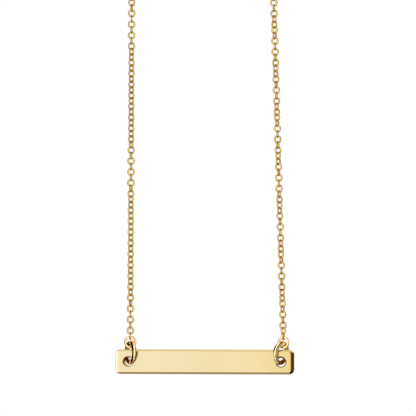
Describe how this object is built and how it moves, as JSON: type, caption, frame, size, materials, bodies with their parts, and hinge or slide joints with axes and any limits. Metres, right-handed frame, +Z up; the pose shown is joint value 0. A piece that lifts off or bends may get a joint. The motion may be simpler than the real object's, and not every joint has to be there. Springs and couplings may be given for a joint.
{
  "type": "bar tag necklace",
  "caption": "Flat rounded bar pendant hung by jump rings from a fine link chain that closes with a ring clasp.",
  "frame": {"origin": "top of the round peg that the loop of chain hangs on; the bar hangs 1.9 mm to the right of it", "axes": "+Z up along the hanging loop, +X to the right as the bar's face is seen, and the bar's face looks along -Y"},
  "size_m": [0.035, 0.0053, 0.2066],
  "materials": {
    "bar_gold": "polished gold plate",
    "ring_gold": "bright gold plate",
    "chain_gold": "bright gold plate",
    "clasp_gold": "bright gold plate"
  },
  "bodies": {
    "necklace": {"chain_left": "chain_gold", "chain_right": "chain_gold", "chain_back_left": "chain_gold", "chain_back_right": "chain_gold", "clasp": "clasp_gold", "clasp_ring": "clasp_gold"},
    "pendant": {"tag_bar": "bar_gold", "jump_ring_left": "ring_gold", "jump_ring_right": "ring_gold", "end_ring_left": "ring_gold", "end_ring_right": "ring_gold"}
  },
  "joints": [
    {"name": "pendant_swing", "type": "hinge", "parent": "necklace", "child": "pendant", "pos_m": [0, 0, -0.197], "axis": [1, 0, 0], "range_deg": [-60, 60]}
  ]
}
